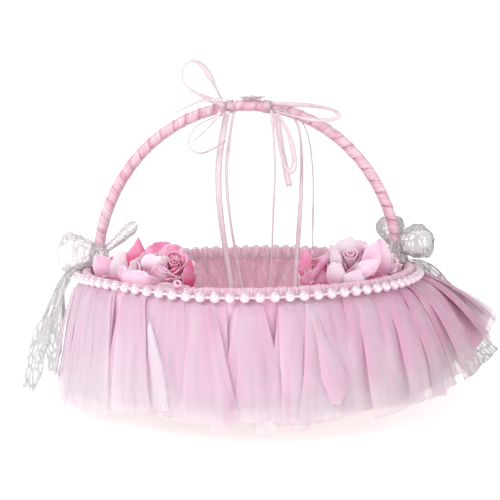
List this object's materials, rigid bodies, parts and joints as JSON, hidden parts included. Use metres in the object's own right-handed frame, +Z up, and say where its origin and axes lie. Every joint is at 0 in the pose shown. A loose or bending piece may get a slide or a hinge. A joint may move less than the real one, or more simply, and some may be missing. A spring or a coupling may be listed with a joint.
{
  "type": "flower girl basket",
  "caption": "Round flared woven basket with fixed satin-wrapped hoop handle, gathered satin lining, pearl-trimmed rim, tulle skirt, roses, lace and ribbon bows.",
  "frame": {"origin": "centre of the basket's resting face, under the base board", "axes": "+Z up along the basket axis; the handle arches from -X to +X; the decorated front faces -Y"},
  "size_m": [0.3226, 0.2473, 0.2207],
  "materials": {
    "board": "pressed wood fibre, pale brown",
    "foot_cord": "twisted paper cord, dark brown",
    "chip_light": "chip-wood strip, natural",
    "chip_weave": "chip-wood strip, reddish brown stain",
    "hoop": "bent wood strip",
    "felt": "pale pink felt band",
    "pearl": "ivory pearl lacquer",
    "lining": "pink satin, gathered",
    "lining_floor": "pink satin over card",
    "cane": "bent cane",
    "wrap_satin": "pale pink satin ribbon",
    "tulle": "sheer pale pink tulle",
    "rose_foam": "soft foam petals, pink shades",
    "lace": "off-white net lace",
    "ribbon_satin": "narrow pink satin ribbon",
    "flower_petal": "off-white organza",
    "flower_bead": "ivory pearl lacquer"
  },
  "bodies": {
    "root": {"base_board": "board", "foot_rope": "foot_cord", "handle_core": "cane", "handle_wrap": "wrap_satin", "lace_left_knot": "lace", "lace_left_loop_inner": "lace", "lace_left_loop_outer": "lace", "lace_left_tail_back": "lace", "lace_left_tail_front": "lace", "lace_right_knot": "lace", "lace_right_loop_inner": "lace", "lace_right_loop_outer": "lace", "lace_right_tail": "lace", "lining_floor": "lining_floor", "lining_wall": "lining", "pearl_string": "pearl", "ribbon_left_curl": "ribbon_satin", "ribbon_left_end": "ribbon_satin", "ribbon_left_knot": "ribbon_satin", "ribbon_left_loop_lower": "ribbon_satin", "ribbon_left_loop_upper": "ribbon_satin", "ribbon_right_knot": "ribbon_satin", "ribbon_right_loop_down": "ribbon_satin", "ribbon_right_loop_side": "ribbon_satin", "ribbon_tail_a": "ribbon_satin", "ribbon_tail_b": "ribbon_satin", "ribbon_tail_c": "ribbon_satin", "ribbon_tail_d": "ribbon_satin", "ribbon_tail_e": "ribbon_satin", "ribbon_tail_short": "ribbon_satin", "rim_band": "felt", "rim_hoop": "hoop", "rose_left_inner": "rose_foam", "rose_left_middle": "rose_foam", "rose_left_outer": "rose_foam", "rose_right_inner": "rose_foam", "rose_right_middle": "rose_foam", "rose_right_outer": "rose_foam", "top_flower_bead": "flower_bead", "top_flower_petals": "flower_petal", "tulle_back": "tulle", "tulle_front": "tulle", "tulle_left": "tulle", "tulle_right": "tulle", "wall_stakes": "chip_light", "wall_weavers": "chip_weave"}
  },
  "joints": []
}
